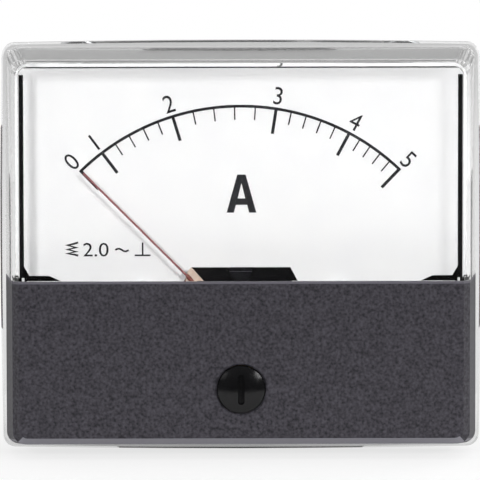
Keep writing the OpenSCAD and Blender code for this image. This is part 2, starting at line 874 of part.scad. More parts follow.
// Round tube along a route, with rings square to the mean direction at each point
module swept_tube(route, d, sides = 8) {
    n = len(route);
    function along(i) = unit(route[min(i + 1, n - 1)] - route[max(i - 1, 0)]);
    function across(i) = unit(cross(along(i), [1, 0, 0.3]));
    points = [for (i = [0 : n - 1]) let (u = across(i), v = cross(along(i), u))
        for (k = [0 : sides - 1]) let (a = 360 * k / sides)
            route[i] + d / 2 * (cos(a) * u + sin(a) * v)];
    walls = [for (i = [0 : n - 2]) for (k = [0 : sides - 1])
        let (m = (k + 1) % sides, a = i * sides + k, b = i * sides + m)
            each [[a, b, b + sides], [a, b + sides, a + sides]]];
    first = [for (k = [sides - 1 : -1 : 0]) k];
    end = [for (k = [0 : sides - 1]) (n - 1) * sides + k];
    polyhedron(points = points, faces = concat([first], walls, [end]));
}

module coil_lead_right() color("chocolate")
    swept_tube(lead_route(), wire_d);

module coil_lead_left() color("chocolate")
    mirror([1, 0, 0])
        swept_tube(lead_route(), wire_d);

iron_inset = 1.7;
iron_y0 = coil_front + iron_inset;
iron_y1 = coil_back - iron_inset;
fixed_iron_r = coil_bore / 2 - seat_gap;
iron_t = 0.5;
iron_centre = rest_angle + 180; // direction of the moving iron at rest

// Curved iron in the coil's bore, cut to a tongue that narrows along the moving iron's path
module fixed_iron() color("lightslategray")
    at_pivot(iron_centre)
        difference() {
            plate(iron_y0, iron_y1)
                sector(fixed_iron_r - iron_t, fixed_iron_r, -32, 120);
            for (y = [iron_y0, iron_y1])
                translate([0, y, 0])
                    rotate([0, 45, 0])
                        rotate([0, 0, y == iron_y0 ? tongue_taper : -tongue_taper])
                            translate([0, -tongue_cut / 2, -coil_bore])
                                cube([coil_bore, tongue_cut, 2 * coil_bore]);
        }

tongue_taper = -25;
tongue_cut = 3.6;

module rear_bridge() color("goldenrod")
    difference() {
        plate(rear_bridge_y, rear_bridge_back)
            difference() {
                union() {
                    polygon([[-pillar_x, pillar_z - pillar_r], [pillar_x, pillar_z - pillar_r],
                        [pillar_x + pillar_r, pillar_z], [3, pivot_z + 3], [-3, pivot_z + 3],
                        [-pillar_x - pillar_r, pillar_z]]);
                    for (s = [-1, 1])
                        translate([s * pillar_x, pillar_z])
                            circle(r = pillar_r);
                    translate([0, pivot_z])
                        circle(r = 3.4);
                }
                for (s = [-1, 1])
                    translate([s * pillar_x, pillar_z])
                        circle(r = m2_r + 0.1);
            }
        bar(jewel_r + 0.03, rear_bridge_y - 1, rear_bridge_back + 1, 0, pivot_z);
    }

module rear_jewel_screw() color("goldenrod")
    difference() {
        bar(jewel_r, rear_cup_y, rear_bridge_back + 2, 0, pivot_z);
        bar(jewel_cup_r, rear_cup_y - 1, rear_cup_y + jewel_cup_depth, 0, pivot_z);
        translate([-0.25, rear_bridge_back + 1.4, pivot_z - 4])
            cube([0.5, 2, 8]);
    }

module hex_nut(af, r_in, y0, y1, x = 0, z = 0) {
    difference() {
        translate([x, y0, z])
            rotate([-90, 0, 0])
                cylinder(r = af / sqrt(3), h = y1 - y0, $fn = 6);
        bar(r_in, y0 - 1, y1 + 1, x, z);
    }
}

module jewel_lock_nut() color("goldenrod")
    hex_nut(5, jewel_r + 0.03, rear_bridge_back, rear_bridge_back + 1.2, 0, pivot_z);

// ---------- Damping ----------

yoke_web = 0.9;
yoke_foot = 8;
yoke_top = magnet_r1 + 0.3 + yoke_web;
yoke_screw_rise = 9.4;
yoke_screw_z = pivot_z + yoke_screw_rise;

// Steel bracket bent round the vane's path
module damping_yoke() color("slategray")
    difference() {
        at_pivot()
            difference() {
                translate([-magnet_w / 2, frame_back, yoke_foot])
                    cube([magnet_w, yoke_back - frame_back, yoke_top - yoke_foot]);
                translate([-magnet_w, frame_back + yoke_t, 0])
                    cube([2 * magnet_w, yoke_back - frame_back - 2 * yoke_t, yoke_top - yoke_web]);
                translate([-magnet_w, frame_back + yoke_t, 0])
                    cube([2 * magnet_w, 20, magnet_r0 - 0.2]);
            }
        bar(m2_r + seat_gap, frame_back - 1, frame_back + yoke_t + 1, 0, yoke_screw_z);
    }

module damping_magnets() color("darkslategray")
    at_pivot()
        for (y = [frame_back + yoke_t, yoke_back - yoke_t - magnet_t])
            translate([-magnet_w / 2, y, magnet_r0])
                cube([magnet_w, magnet_t, magnet_r1 - magnet_r0]);

module yoke_screw() color("#2a2a2c")
    small_screw(dial_back + m2_head_t, 0, yoke_screw_z, frame_t - m2_head_t + yoke_t);

// ---------- Pointer and what turns with it ----------

module pivot_staff() color("silver") {
    front_end = front_cup_y - jewel_cup_depth + 0.2;
    rear_end = rear_cup_y + jewel_cup_depth - 0.2;
    bar(pivot_r, front_end, rear_end, 0, pivot_z);
    bar(staff_r, front_cup_y + end_shake, rear_cup_y - end_shake, 0, pivot_z);
}

collet_r = 1.1;

module hairspring_collet() color("goldenrod")
    ring(collet_r, staff_r + 0.01, spring_front - 0.1, spring_back + 0.1, 0, pivot_z);

spring_turns = 5;
spring_r_in = collet_r + 0.1;

function spiral(offset) = [for (i = [0 : 18 * spring_turns])
    let (a = 20 * i, r = spring_r_in + (spring_r_out - spring_r_in) * i / (18 * spring_turns) + offset)
        [r * sin(a), r * cos(a)]];

// Flat spiral spring between the collet and the zero lever's stud
module hairspring() color("tan")
    at_pivot()
        plate(spring_front, spring_back)
            polygon(concat(spiral(0), [for (i = [18 * spring_turns : -1 : 0]) spiral(spring_t)[i]]));

hub_r = 1.9;
needle_offset = 0.7; // the needle lies beside the line through the pivot
needle_root = 8.2;
arm_end = 12.2;
balance_arm_r = 0.3;
balance_spread = 35;
balance_len = 6.4;
weight_r = 0.9;
weight_len = 2.2;
weight_starts = [3.05, 3.73]; // each weight is slid along its arm until the pointer balances

module balance_direction(side) {
    at_pivot(rest_angle + 180 + side * balance_spread)
        translate([0, balance_y, 0])
            children();
}

ledge_t = 0.2;

// Moulded arm, cranked so that the needle is held along its lower flank, with a thin ledge behind it
module pointer_arm() color("#d8c3b4")
    difference() {
        union() {
            at_pivot(rest_angle) {
                plate(arm_front, arm_front + arm_t)
                    polygon([[1.15, arm_end], [2.02, arm_end], [1.88, arm_end - 2.4], [1.8, 6],
                        [hub_r - 0.1, 1], [-hub_r + 0.1, 1], [-0.7, 6], [0.2, 9],
                        [0.55, 9.9], [0.95, 10.4]]);
                plate(arm_front + arm_t - ledge_t, arm_front + arm_t)
                    polygon([[1.3, arm_end - 0.1], [0.5, arm_end - 0.4], [-0.25, arm_end - 1],
                        [-0.6, 7], [1, 7]]);
            }
            bar(hub_r, arm_front, hub_back, 0, pivot_z);
            for (side = [-1, 1])
                balance_direction(side)
                    cylinder(r = balance_arm_r, h = balance_len);
        }
        bar(staff_r + 0.01, arm_front - 1, hub_back + 1, 0, pivot_z);
        at_pivot(rest_angle)
            translate([needle_offset, needle_y, needle_root - 0.05])
                cylinder(d = needle_d + 0.04, h = needle_r);
    }

module pointer_needle() color("#7c2a2c")
    at_pivot(rest_angle)
        translate([needle_offset, needle_y, needle_root])
            cylinder(d = needle_d, h = needle_r - needle_root, $fn = 24);

module balance_weights() color("goldenrod")
    for (i = [0, 1])
        balance_direction(2 * i - 1)
            translate([0, 0, weight_starts[i]])
                difference() {
                    cylinder(r = weight_r, h = weight_len);
                    translate([0, 0, -1])
                        cylinder(r = balance_arm_r + 0.02, h = weight_len + 2);
                }

moving_iron_r = fixed_iron_r - iron_t - 0.6;

// Curved iron strip carried on the staff by two tabs
module moving_iron() color("lightslategray")
    at_pivot(iron_centre) {
        difference() {
            union() {
                plate(iron_y0, iron_y1)
                    sector(moving_iron_r - iron_t, moving_iron_r, -30, 30);
                for (y = [iron_y0, iron_y1 - 0.8])
                    plate(y, y + 0.8) {
                        circle(r = staff_r + 0.6);
                        translate([-0.5, 0])
                            square([1, moving_iron_r - iron_t + 0.1]);
                    }
            }
            bar(staff_r + 0.01, iron_y0 - 1, iron_y1 + 1);
        }
    }

vane_r0 = 11;
vane_r1 = 15.5;

// Thin aluminium sector on two spokes, which swings between the magnets
module damping_vane() color("gainsboro")
    at_pivot(rest_angle)
        difference() {
            union() {
                plate(vane_y - vane_t / 2, vane_y + vane_t / 2) {
                    sector(vane_r0, vane_r1, -vane_half, vane_half);
                    for (a = [-30, 30])
                        rotate(-a)
                            translate([-0.6, 0])
                                square([1.2, vane_r0 + 0.3]);
                }
                bar(staff_r + 0.8, vane_y - 0.7, vane_y + 0.7);
            }
            bar(staff_r + 0.01, vane_y - 2, vane_y + 2);
        }

// ---------- Fixings ----------

module stud_places() {
    for (sx = [-1, 1])
        for (sz = [-1, 1])
            translate([sx * stud_dx / 2, 0, sz * stud_dz / 2])
                children();
}

stud_r = stud_d / 2;
thread_r = stud_r - 0.3; // core of the threaded part
parked_y = stud_len - 5.4; // front of the washers, parked near the studs' ends
washer_t = 0.5;
washer_r = 3.5;
spring_washer_t = 0.8;
spring_washer_r = 2.8;
nut_t = 2.4;
nut_af = 5.5;

module panel_studs() color("silver")
    stud_places()
        turned()
            polygon([[0, -base_t + stud_sink - stud_head_t], [stud_head_r, -base_t + stud_sink - stud_head_t],
                [stud_head_r, -base_t + stud_sink], [knurl_r, -base_t + stud_sink], [knurl_r, 0], [stud_r, 0],
                [stud_r, parked_y - 0.6], [thread_r, parked_y - 0.4], [thread_r, stud_len - 0.4],
                [thread_r - 0.4, stud_len], [0, stud_len]]);

module stud_washers() color("silver")
    stud_places()
        ring(washer_r, thread_r + 0.15, parked_y, parked_y + washer_t);

module split_ring(r_out, r_in, y0, y1, x = 0, z = 0) {
    difference() {
        ring(r_out, r_in, y0, y1, x, z);
        translate([x - 0.2, y0 - 1, z])
            rotate([0, 0, 12])
                cube([0.4, y1 - y0 + 2, r_out + 1]);
    }
}

module stud_spring_washers() color("silver")
    stud_places()
        split_ring(spring_washer_r, thread_r + 0.1, parked_y + washer_t, parked_y + washer_t + spring_washer_t);

module stud_nuts() color("silver") {
    y0 = parked_y + washer_t + spring_washer_t;
    stud_places()
        hex_nut(nut_af, thread_r + 0.03, y0, y0 + nut_t);
}

// Terminal hardware, stacked back from the barrel's rear boss
t_washer_t = 0.8;
t_washer_r = 4.5;
t_spring_t = 0.9;
t_spring_r = 3.8;
t_nut_t = 2.4;
t_nut_af = 7;
t_nut1 = terminal_seat + t_washer_t;
t_washer2 = t_nut1 + t_nut_t;
t_spring = t_washer2 + t_washer_t;
t_nut2 = t_spring + t_spring_t;
t_free = t_nut2 + t_nut_t;
terminal_r = terminal_d / 2;
engaged_r = terminal_r - 0.35; // core of the threaded part
terminal_end = barrel_len + terminal_len;
bolt_head_t = 2.8;

module terminal_bolts() color("#c9a227")
    both_sides() {
        translate([terminal_dx / 2, tag_y - bolt_head_t, terminal_z])
            rotate([-90, 30, 0])
                cylinder(r = t_nut_af / sqrt(3), h = bolt_head_t, $fn = 6);
        turned(terminal_dx / 2, terminal_z)
            polygon([[0, tag_y], [engaged_r, tag_y], [engaged_r, t_free], [terminal_r, t_free],
                [terminal_r, terminal_end - 0.5], [terminal_r - 0.5, terminal_end], [0, terminal_end]]);
    }

module terminal_washers() color("#d2b55b")
    both_sides()
        for (y = [terminal_seat, t_washer2])
            ring(t_washer_r, terminal_r + 0.15, y, y + t_washer_t, terminal_dx / 2, terminal_z);

module terminal_spring_washers() color("silver")
    both_sides()
        split_ring(t_spring_r, terminal_r + 0.1, t_spring, t_spring + t_spring_t, terminal_dx / 2, terminal_z);

module terminal_nuts() color("#c9a227")
    both_sides()
        for (y = [t_nut1, t_nut2])
            hex_nut(t_nut_af, engaged_r + 0.03, y, y + t_nut_t, terminal_dx / 2, terminal_z);

// Ring tongues under the bolt heads, that the coil's leads are soldered to
module solder_tags() color("#d2b55b")
    both_sides()
        plate(tag_y, rear_y)
            translate([terminal_dx / 2, terminal_z])
                difference() {
                    union() {
                        circle(r = tag_r);
                        translate([-tag_w / 2, -tag_len])
                            square([tag_w, tag_len]);
                    }
                    circle(r = terminal_r + 0.1);
                }

front_cover();
lower_mask();
zero_adjuster();
base_housing();
cover_screws();
dial_plate();
scale_marks();
dial_screws();
movement_frame();
frame_screws();
front_bridge();
bridge_screws();
front_jewel_screw();
lever_washer();
zero_lever();
frame_pillars();
coil_bobbin();
coil_winding();
coil_lead_left();
coil_lead_right();
fixed_iron();
rear_bridge();
rear_jewel_screw();
jewel_lock_nut();
damping_yoke();
damping_magnets();
yoke_screw();
pivot_staff();
hairspring();
hairspring_collet();
pointer_arm();
pointer_needle();
balance_weights();
moving_iron();
damping_vane();
panel_studs();
stud_washers();
stud_spring_washers();
stud_nuts();
terminal_bolts();
terminal_washers();
terminal_spring_washers();
terminal_nuts();
solder_tags();
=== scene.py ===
"""Finish, print, threads, lamps and camera for a 70 x 60 mm moving-iron panel ammeter."""
import math

import bmesh
import bpy
from mathutils import Matrix, Vector


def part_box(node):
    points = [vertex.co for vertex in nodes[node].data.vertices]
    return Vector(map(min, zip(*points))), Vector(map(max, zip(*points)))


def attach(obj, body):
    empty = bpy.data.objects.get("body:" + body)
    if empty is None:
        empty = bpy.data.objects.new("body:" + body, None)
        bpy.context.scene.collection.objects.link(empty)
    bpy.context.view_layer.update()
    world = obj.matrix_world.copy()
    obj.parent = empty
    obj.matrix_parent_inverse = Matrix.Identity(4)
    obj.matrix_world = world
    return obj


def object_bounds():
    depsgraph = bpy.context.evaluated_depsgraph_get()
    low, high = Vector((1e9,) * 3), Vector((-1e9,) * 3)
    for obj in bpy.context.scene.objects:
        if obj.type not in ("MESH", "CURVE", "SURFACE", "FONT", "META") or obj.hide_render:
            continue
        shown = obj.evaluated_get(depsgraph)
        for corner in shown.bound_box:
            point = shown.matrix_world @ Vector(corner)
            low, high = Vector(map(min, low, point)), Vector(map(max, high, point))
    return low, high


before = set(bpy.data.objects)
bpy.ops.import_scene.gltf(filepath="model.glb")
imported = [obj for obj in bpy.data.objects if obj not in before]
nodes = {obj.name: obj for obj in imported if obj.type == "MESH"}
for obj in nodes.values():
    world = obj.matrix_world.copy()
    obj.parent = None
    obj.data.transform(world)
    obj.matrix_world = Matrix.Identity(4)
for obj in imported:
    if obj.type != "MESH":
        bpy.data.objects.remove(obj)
cad_box = [list(corner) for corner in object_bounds()]
scene = bpy.context.scene
MM = 0.001
WHITE = (1, 1, 1, 1)

# ---------- Camera ----------
# A long lens from just above the dial's centre line
CAMERA_DISTANCE = 0.7958
CAMERA_AZIMUTH = math.radians(0.12)
CAMERA_ELEVATION = math.radians(5.07)
CAMERA_ROLL = math.radians(-0.1)
CAMERA_AIM = Vector((-0.11 * MM, 0, 0.54 * MM))
LENS_MM = 406.4
SENSOR_MM = 36
NEAREST_SEEN = 0.05
FURTHEST_SEEN = 20

camera_data = bpy.data.cameras.new("camera")
camera_data.lens = LENS_MM
camera_data.sensor_width = SENSOR_MM
camera_data.clip_start = NEAREST_SEEN
camera_data.clip_end = FURTHEST_SEEN
camera = bpy.data.objects.new("camera", camera_data)
scene.collection.objects.link(camera)
scene.camera = camera
away = Vector((-math.sin(CAMERA_AZIMUTH) * math.cos(CAMERA_ELEVATION),
               -math.cos(CAMERA_AZIMUTH) * math.cos(CAMERA_ELEVATION),
               math.sin(CAMERA_ELEVATION)))
camera.location = CAMERA_AIM + away * CAMERA_DISTANCE
camera.rotation_mode = "QUATERNION"
facing = (-away).to_track_quat("-Z", "Y").to_matrix()
camera.rotation_quaternion = (facing @ Matrix.Rotation(CAMERA_ROLL, 3, "Z")).to_quaternion()
scene.view_settings.view_transform = "Standard"
# Light runs along the clear walls by many inner reflections
CLEAR_BOUNCES = 24
GLOSSY_BOUNCES = 16
scene.cycles.max_bounces = CLEAR_BOUNCES
scene.cycles.transmission_bounces = CLEAR_BOUNCES
scene.cycles.glossy_bounces = GLOSSY_BOUNCES


# ---------- Materials ----------

def linear(hex_colour):
    """An sRGB hex colour as a linear RGBA tuple."""
    parts = [int(hex_colour[i:i + 2], 16) / 255 for i in (1, 3, 5)]
    return tuple(p / 12.92 if p <= 0.04045 else ((p + 0.055) / 1.055) ** 2.4
                 for p in parts) + (1.0,)


def add(tree, kind, values=None, links=None, **settings):
    """Adds one node, with its settings, socket values and incoming links."""
    made = tree.nodes.new(kind)
    for name, value in settings.items():
        setattr(made, name, value)
    for socket, value in (values or {}).items():
        made.inputs[socket].default_value = value
    for socket, source in (links or {}).items():
        tree.links.new(source, made.inputs[socket])
    return made


def start(name, hex_colour, roughness, **values):
    """A material with a Principled shader, and the object's own coordinates for its patterns."""
    made = bpy.data.materials.new(name)
    made.use_nodes = True
    tree = made.node_tree
    tree.nodes.clear()
    shader = add(tree, "ShaderNodeBsdfPrincipled",
                 {"Base Color": linear(hex_colour), "Roughness": roughness})
    for socket, value in values.items():
        shader.inputs[socket.replace("_", " ")].default_value = value
    add(tree, "ShaderNodeOutputMaterial", links={"Surface": shader.outputs[0]})
    place = add(tree, "ShaderNodeTexCoord").outputs["Object"]
    return made, tree, shader, place


def resurface(tree, shader):
    """Puts another shader on the material's surface."""
    output = next(n for n in tree.nodes if n.type == "OUTPUT_MATERIAL")
    tree.links.new(shader.outputs[0], output.inputs["Surface"])


def noise(tree, place, size_mm, detail=2.0, stretch=None):
    """Noise whose blotches are about size_mm across, drawn out along an axis if stretch says so."""
    if stretch:
        place = add(tree, "ShaderNodeMapping", {"Scale": stretch}, {"Vector": place}).outputs[0]
    return add(tree, "ShaderNodeTexNoise", {"Scale": 1 / (size_mm * MM), "Detail": detail},
               {"Vector": place}).outputs[0]


# Noise seldom leaves this range
NOISE_LOW, NOISE_HIGH = 0.3, 0.7


def between(tree, factor, low, high):
    """Turns a pattern's middle range into the range from low to high."""
    return add(tree, "ShaderNodeMapRange",
               {"From Min": NOISE_LOW, "From Max": NOISE_HIGH, "To Min": low, "To Max": high},
               {"Value": factor}).outputs[0]


def mottle(tree, shader, pattern, hex_low, hex_high):
    """Lets the base colour wander between two near shades."""
    mix = add(tree, "ShaderNodeMix", {6: linear(hex_low), 7: linear(hex_high)},
              {0: between(tree, pattern, 0, 1)}, data_type="RGBA")
    tree.links.new(mix.outputs[2], shader.inputs["Base Color"])


def uneven(tree, shader, pattern, low, high):
    """Lets the roughness wander."""
    tree.links.new(between(tree, pattern, low, high), shader.inputs["Roughness"])


def grain(tree, shader, pattern, depth_mm, strength=1.0):
    """Raises the surface by a pattern."""
    bump = add(tree, "ShaderNodeBump", {"Strength": strength, "Distance": depth_mm * MM},
               {"Height": pattern})
    tree.links.new(bump.outputs[0], shader.inputs["Normal"])


# Each bevel of the cover, at the top, the left and the right: the axis it leans along, its slope,
# which is the product of its normal's Y part and its part along that axis, and the share of light
# that goes straight through
BEVELS = [("Z", -0.5, 0.55), ("X", 0.5, 0.15), ("X", -0.5, 0.6)]
SLOPE_MARGIN = 0.12
FLAT_SHARE = 0.97


def clear_polystyrene():
    """Clear moulded polystyrene: glossy, with a faint flow ripple. Light that meets a bevel is
    thrown aside, most of all at the left, so its shadow there is deeper and draws a soft line
    inside the dial's edge."""
    made, tree, shader, place = start("clear_polystyrene", "#f3f3f3", 0.03, IOR=1.55,
                                      Transmission_Weight=1.0)
    grain(tree, shader, noise(tree, place, 6, 1.0), 0.02, 0.2)
    uneven(tree, shader, noise(tree, place, 3, 2.0), 0.02, 0.05)
    path = add(tree, "ShaderNodeLightPath")
    through = add(tree, "ShaderNodeMath", links={0: path.outputs["Is Shadow Ray"],
                                                 1: path.outputs["Is Diffuse Ray"]},
                  operation="MAXIMUM")
    normal = add(tree, "ShaderNodeNewGeometry").outputs["True Normal"]
    tilt = add(tree, "ShaderNodeSeparateXYZ", links={0: normal}).outputs
    shade = None
    for axis, slope, share in BEVELS:
        product = add(tree, "ShaderNodeMath", links={0: tilt["Y"], 1: tilt[axis]},
                      operation="MULTIPLY")
        on_bevel = add(tree, "ShaderNodeMath", {1: slope, 2: SLOPE_MARGIN},
                       {0: product.outputs[0]}, operation="COMPARE")
        mix = add(tree, "ShaderNodeMix", {6: (FLAT_SHARE,) * 3 + (1,), 7: (share,) * 3 + (1,)},
                  {0: on_bevel.outputs[0]}, data_type="RGBA")
        if shade:
            tree.links.new(shade.outputs[2], mix.inputs[6])
        shade = mix
    plain = add(tree, "ShaderNodeBsdfTransparent", links={"Color": shade.outputs[2]})
    resurface(tree, add(tree, "ShaderNodeMixShader", links={
        0: through.outputs[0], 1: shader.outputs[0], 2: plain.outputs[0]}))
    return made


# The painted highlight band along the mask's top edge, and the height and slope of its foot, which
# carries a painted reflection of the floor
MASK_EDGE = 0.35 * MM
MASK_FOOT = 3 * MM
FOOT_SLOPE = -0.7
FOOT_MARGIN = 0.15


def grained_abs():
    """Dark grey ABS moulded in a spark-eroded tool: a fine dry grain, with a paler band painted
    along the top edge as a highlight and on the sloping foot as a reflection of the bright floor.
    The real grain is about 0.1 mm and is drawn at 0.42 mm so that it shows."""
    made, tree, shader, place = start("grained_abs", "#39383d", 0.62, Specular_IOR_Level=0.3)
    fine = noise(tree, place, 0.42, 3.0)
    mottle(tree, shader, fine, "#1c1b1f", "#3f3d43")
    mask_low, mask_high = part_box("lower_mask")
    height = add(tree, "ShaderNodeSeparateXYZ", links={0: place}).outputs["Z"]
    edge = add(tree, "ShaderNodeMath", {1: mask_high[2], 2: MASK_EDGE}, {0: height},
               operation="COMPARE")
    normal = add(tree, "ShaderNodeNewGeometry").outputs["True Normal"]
    down = add(tree, "ShaderNodeSeparateXYZ", links={0: normal}).outputs["Z"]
    sloping = add(tree, "ShaderNodeMath", {1: FOOT_SLOPE, 2: FOOT_MARGIN}, {0: down},
                  operation="COMPARE")
    low = add(tree, "ShaderNodeMath", {1: mask_low[2] + MASK_FOOT}, {0: height},
              operation="LESS_THAN")
    foot = add(tree, "ShaderNodeMath", links={0: sloping.outputs[0], 1: low.outputs[0]},
               operation="MULTIPLY")
    # Paler base colour painted at the top edge as a highlight, and on the sloping foot as a
    # reflection of the bright floor
    for painted_light_mask, painted_light_hex in ((edge, "#535158"), (foot, "#717076")):
        mix = add(tree, "ShaderNodeMix", {7: linear(painted_light_hex)}, {0: painted_light_mask.outputs[0]},
                  data_type="RGBA")
        tree.links.new(shader.inputs["Base Color"].links[0].from_socket, mix.inputs[6])
        tree.links.new(mix.outputs[2], shader.inputs["Base Color"])
    uneven(tree, shader, noise(tree, place, 0.35), 0.55, 0.7)
    grain(tree, shader, fine, 0.03, 0.8)
    return made


def black_phenolic():
    """Black moulding compound: dense black with a soft satin face and faint flow marks."""
    made, tree, shader, place = start("black_phenolic", "#0a0a0b", 0.15, Specular_IOR_Level=0.3)
    mottle(tree, shader, noise(tree, place, 2.5, 4.0), "#080809", "#0f0f10")
    uneven(tree, shader, noise(tree, place, 1.2, 3.0), 0.12, 0.19)
    grain(tree, shader, noise(tree, place, 0.4, 2.0), 0.01, 0.5)
    return made


def polished_abs():
    """Black ABS from a polished tool: a soft gloss with a slight orange peel."""
    made, tree, shader, place = start("polished_abs", "#09090a", 0.12, Specular_IOR_Level=0.32)
    uneven(tree, shader, noise(tree, place, 0.8, 3.0), 0.14, 0.22)
    grain(tree, shader, noise(tree, place, 1.2, 1.0), 0.01, 0.3)
    return made


def dial_enamel():
    """Aluminium sprayed with matt white enamel: even and cool, its face dry and pebbled."""
    made, tree, shader, place = start("dial_enamel", "#f8f8f8", 0.6)
    mottle(tree, shader, noise(tree, place, 5, 2.0), "#f6f6f7", "#fafafa")
    grain(tree, shader, noise(tree, place, 0.3, 2.0), 0.004, 0.5)
    uneven(tree, shader, noise(tree, place, 1.0), 0.55, 0.7)
    return made


def printing_ink():
    """Screen-printed black ink: matt, and a little thinner here and there."""
    made, tree, shader, place = start("printing_ink", "#151518", 0.7, Specular_IOR_Level=0.3)
    mottle(tree, shader, noise(tree, place, 0.6, 3.0), "#111113", "#1c1c20")
    uneven(tree, shader, noise(tree, place, 0.4), 0.6, 0.8)
    return made


def zinc_plate():
    """Bright zinc over steel: pale and bluish, with a fine crystalline cloudiness."""
    made, tree, shader, place = start("zinc_plate", "#c3c6c8", 0.3, Metallic=1.0)
    mottle(tree, shader, noise(tree, place, 0.8, 4.0), "#b4b7ba", "#d0d2d2")
    uneven(tree, shader, noise(tree, place, 0.5, 3.0), 0.22, 0.4)
    grain(tree, shader, noise(tree, place, 0.15, 2.0), 0.003, 0.5)
    return made


def black_oxide():
    """Steel screw blackened in a hot oxide bath: near black, with a thin oily sheen."""
    made, tree, shader, place = start("black_oxide", "#232326", 0.4, Metallic=1.0)
    mottle(tree, shader, noise(tree, place, 0.5, 3.0), "#1d1d20", "#2b2b2f")
    uneven(tree, shader, noise(tree, place, 0.4, 2.0), 0.34, 0.5)
    return made


def annealed_iron():
    """Soft iron after annealing: a dull blue-grey skin with darker patches."""
    made, tree, shader, place = start("annealed_iron", "#6d7278", 0.5, Metallic=1.0)
    mottle(tree, shader, noise(tree, place, 1.5, 5.0), "#5c6067", "#7d8288")
    uneven(tree, shader, noise(tree, place, 0.6, 3.0), 0.4, 0.62)
    grain(tree, shader, noise(tree, place, 0.2, 2.0), 0.005, 0.5)
    return made


def turned_brass():
    """Brass off the lathe: warm yellow, with fine rings along the tool's path."""
    made, tree, shader, place = start("turned_brass", "#c9a44e", 0.25, Metallic=1.0)
    mottle(tree, shader, noise(tree, place, 1.2, 3.0), "#bd9542", "#d4b364")
    uneven(tree, shader, noise(tree, place, 0.6, 3.0), 0.2, 0.36)
    grain(tree, shader, noise(tree, place, 0.5, 2.0, (0.2, 6.0, 0.2)), 0.004, 0.6)
    return made


def enamelled_copper():
    """Copper wire under clear varnish: deep orange-brown with a wet gloss."""
    made, tree, shader, place = start("enamelled_copper", "#9c4a26", 0.3, Metallic=0.85,
                                      Coat_Weight=0.7, Coat_Roughness=0.1)
    mottle(tree, shader, noise(tree, place, 2.0, 3.0), "#8a3d1e", "#b05a30")
    uneven(tree, shader, noise(tree, place, 0.7, 2.0), 0.25, 0.4)
    return made


def natural_nylon():
    """Unpigmented nylon: milky and slightly yellow, a little light passing into it."""
    made, tree, shader, place = start("natural_nylon", "#ddd6c0", 0.45, Subsurface_Weight=0.2)
    shader.inputs["Subsurface Radius"].default_value = (0.0006, 0.0005, 0.0003)
    mottle(tree, shader, noise(tree, place, 3.0, 2.0), "#d6ceb6", "#e3ddca")
    grain(tree, shader, noise(tree, place, 0.4, 2.0), 0.006, 0.4)
    return made


def sintered_ferrite():
    """Ground ferrite magnet: charcoal grey with a gritty, dull face."""
    made, tree, shader, place = start("sintered_ferrite", "#3a3b3e", 0.6)
    mottle(tree, shader, noise(tree, place, 0.3, 4.0), "#303134", "#46474a")
    grain(tree, shader, noise(tree, place, 0.12, 3.0), 0.006, 0.7)
    return made


def beige_acetal():
    """Pale pinkish-beige acetal: waxy, with soft edges where light passes in."""
    made, tree, shader, place = start("beige_acetal", "#d3bcab", 0.4, Subsurface_Weight=0.15)
    shader.inputs["Subsurface Radius"].default_value = (0.0005, 0.0003, 0.0002)
    mottle(tree, shader, noise(tree, place, 0.9, 3.0), "#c9b09f", "#dcc8b8")
    uneven(tree, shader, noise(tree, place, 0.5), 0.32, 0.5)
    return made


def red_lacquer():
    """Dull red lacquer on the needle: thin and slightly glossy, browner where it thins."""
    made, tree, shader, place = start("red_lacquer", "#8e5557", 0.4, Specular_IOR_Level=0.4)
    mottle(tree, shader, noise(tree, place, 0.5, 2.0), "#824a4c", "#9c6466")
    return made


def varnish_drop():
    """The drop of reddish-brown varnish that fixes the needle: dark, thick and glossy."""
    made, tree, shader, place = start("varnish_drop", "#8a5148", 0.18, Coat_Weight=0.5)
    mottle(tree, shader, noise(tree, place, 0.4, 2.0), "#7a443c", "#9b6258")
    return made


def rolled_aluminium():
    """Thin rolled aluminium sheet: pale, with fine lines along the rolling direction."""
    made, tree, shader, place = start("rolled_aluminium", "#d5d8db", 0.32, Metallic=1.0)
    mottle(tree, shader, noise(tree, place, 0.6, 3.0, (6.0, 1.0, 0.3)), "#c8cbcf", "#e0e2e4")
    uneven(tree, shader, noise(tree, place, 0.5, 2.0), 0.26, 0.4)
    return made


def bright_solder():
    """A set drop of tin solder: silvery and smooth, with a soft crystalline skin."""
    made, tree, shader, place = start("bright_solder", "#c9ccce", 0.22, Metallic=1.0)
    mottle(tree, shader, noise(tree, place, 0.7, 3.0), "#b9bdc0", "#d6d8d8")
    uneven(tree, shader, noise(tree, place, 0.3, 2.0), 0.16, 0.34)
    return made


FINISHES = {
    clear_polystyrene: ["front_cover"],
    grained_abs: ["lower_mask"],
    polished_abs: ["zero_adjuster"],
    black_phenolic: ["base_housing", "movement_frame"],
    dial_enamel: ["dial_plate"],
    printing_ink: ["scale_marks"],
    zinc_plate: ["cover_screws", "dial_screws", "frame_screws", "bridge_screws", "lever_washer",
                 "frame_pillars", "pivot_staff", "panel_studs", "stud_washers",
                 "stud_spring_washers", "stud_nuts", "terminal_spring_washers"],
    black_oxide: ["yoke_screw"],
    annealed_iron: ["fixed_iron", "moving_iron", "damping_yoke"],
    turned_brass: ["front_bridge", "front_jewel_screw", "zero_lever", "rear_bridge",
                   "rear_jewel_screw", "jewel_lock_nut", "hairspring", "hairspring_collet",
                   "balance_weights", "terminal_bolts", "terminal_washers", "terminal_nuts",
                   "solder_tags"],
    enamelled_copper: ["coil_winding", "coil_lead_left", "coil_lead_right"],
    natural_nylon: ["coil_bobbin"],
    sintered_ferrite: ["damping_magnets"],
    beige_acetal: ["pointer_arm"],
    red_lacquer: ["pointer_needle"],
    rolled_aluminium: ["damping_vane"],
}
finish = {}
for make, dressed in FINISHES.items():
    finish[make.__name__] = make()
    for name in dressed:
        for material_slot in nodes[name].material_slots:
            material_slot.material = finish[make.__name__]
finish["varnish_drop"] = varnish_drop()
finish["bright_solder"] = bright_solder()


